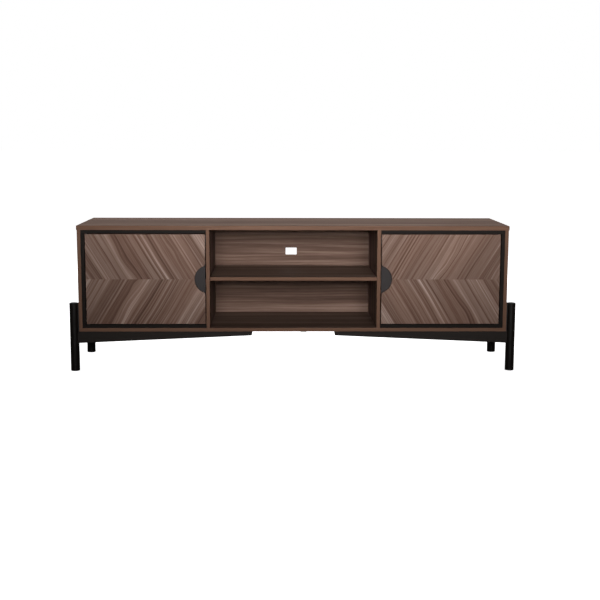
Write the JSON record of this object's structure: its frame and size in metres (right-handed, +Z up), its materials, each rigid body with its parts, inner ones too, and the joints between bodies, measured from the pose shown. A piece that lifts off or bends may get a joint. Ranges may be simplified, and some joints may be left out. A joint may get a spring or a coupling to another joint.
{
  "type": "tv stand with doors",
  "caption": "Low walnut TV stand with an open centre bay and shelf between two chevron-faced doors, on round black legs with tapered rails.",
  "frame": {"origin": "on the floor, at the middle of the stand's width and depth", "axes": "+X along the width, -Y is the front with the doors, +Z up"},
  "size_m": [1.878, 0.45, 0.614],
  "materials": {
    "walnut_board": "walnut-look laminated board, satin, horizontal grain",
    "chevron_veneer": "walnut veneer laid in a chevron, satin",
    "black_wood": "black lacquered solid wood, satin",
    "black_metal": "black powder coat, satin",
    "black_plastic": "black moulded plastic, matt",
    "zinc_steel": "zinc plated steel",
    "zinc_cast": "die-cast zinc, dull",
    "magnet": "ferrite magnet with steel poles",
    "beech": "plain beech dowel",
    "black_nylon": "black nylon",
    "brown_wood": "brown stained solid wood"
  },
  "bodies": {
    "carcass": {"batten_screws": "zinc_steel", "bottom_batten": "brown_wood", "bottom_panel": "walnut_board", "cam_bolts": "zinc_steel", "cam_locks": "zinc_cast", "catch_magnets": "magnet", "catch_screws": "zinc_steel", "center_back_panel": "walnut_board", "center_shelf": "walnut_board", "center_shelf_pins": "zinc_steel", "foot_glides": "black_plastic", "front_left_leg": "black_metal", "front_left_rail": "black_wood", "front_right_leg": "black_metal", "front_right_rail": "black_wood", "left_back_panel": "walnut_board", "left_bottom_strip": "black_wood", "left_cabinet_shelf": "walnut_board", "left_cabinet_shelf_pins": "zinc_steel", "left_divider": "walnut_board", "left_door_bushes": "black_nylon", "left_hinge_strip": "black_wood", "left_magnetic_catch": "black_plastic", "left_side_panel": "walnut_board", "left_top_strip": "black_wood", "leg_bolts": "zinc_steel", "leg_caps": "black_plastic", "leg_rivet_nuts": "zinc_steel", "leg_spacers": "black_plastic", "rail_screws": "zinc_steel", "rear_left_leg": "black_metal", "rear_left_rail": "black_wood", "rear_right_leg": "black_metal", "rear_right_rail": "black_wood", "right_back_panel": "walnut_board", "right_bottom_strip": "black_wood", "right_cabinet_shelf": "walnut_board", "right_cabinet_shelf_pins": "zinc_steel", "right_divider": "walnut_board", "right_door_bushes": "black_nylon", "right_hinge_strip": "black_wood", "right_magnetic_catch": "black_plastic", "right_side_panel": "walnut_board", "right_top_strip": "black_wood", "strip_screws": "black_metal", "top_panel": "walnut_board", "wood_dowels": "beech"},
    "left_door": {"left_door_panel": "chevron_veneer", "left_door_pivot_pins": "zinc_steel", "left_grip_plate": "black_metal", "left_grip_plate_screws": "zinc_steel", "left_strike_plate": "zinc_steel", "left_strike_screws": "zinc_steel"},
    "right_door": {"right_door_panel": "chevron_veneer", "right_door_pivot_pins": "zinc_steel", "right_grip_plate": "black_metal", "right_grip_plate_screws": "zinc_steel", "right_strike_plate": "zinc_steel", "right_strike_screws": "zinc_steel"}
  },
  "joints": [
    {"name": "left_door_hinge", "type": "hinge", "parent": "carcass", "child": "left_door", "pos_m": [-0.856, -0.217, 0.39], "axis": [0, 0, -1], "range_deg": [0, 110]},
    {"name": "right_door_hinge", "type": "hinge", "parent": "carcass", "child": "right_door", "pos_m": [0.856, -0.217, 0.39], "axis": [0, 0, 1], "range_deg": [0, 110]}
  ]
}
